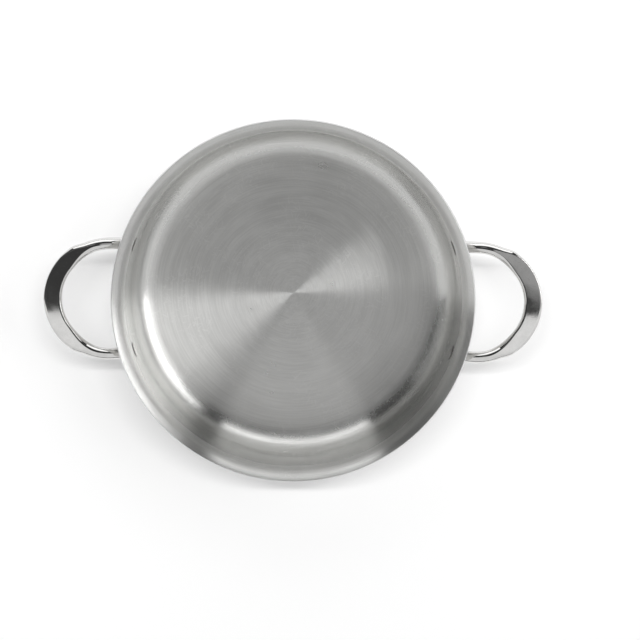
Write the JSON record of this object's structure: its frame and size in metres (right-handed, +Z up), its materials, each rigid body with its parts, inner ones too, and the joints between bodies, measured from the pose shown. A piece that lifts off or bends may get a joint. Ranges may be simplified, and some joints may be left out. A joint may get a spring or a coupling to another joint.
{
  "type": "chef pan",
  "caption": "Wide round chef pan in clad stainless steel, with a flared pouring lip and riveted loop handles, for searing, braising and simmering.",
  "frame": {"origin": "centre of the base's flat underside, where the pan stands", "axes": "+X through the middle of the right handle, +Y towards the back of the pan, +Z up along the pan's axis and out of its mouth"},
  "size_m": [0.3866, 0.28, 0.08],
  "materials": {
    "inner_steel": "satin",
    "core_aluminium": "satin",
    "outer_steel": "satin",
    "handle_steel": "polished",
    "rivet_steel": "polished"
  },
  "bodies": {
    "root": {"inner_skin": "inner_steel", "aluminium_core": "core_aluminium", "outer_skin": "outer_steel", "left_handle": "handle_steel", "right_handle": "handle_steel", "rivet_left_front": "rivet_steel", "rivet_left_back": "rivet_steel", "rivet_right_front": "rivet_steel", "rivet_right_back": "rivet_steel"}
  },
  "joints": []
}
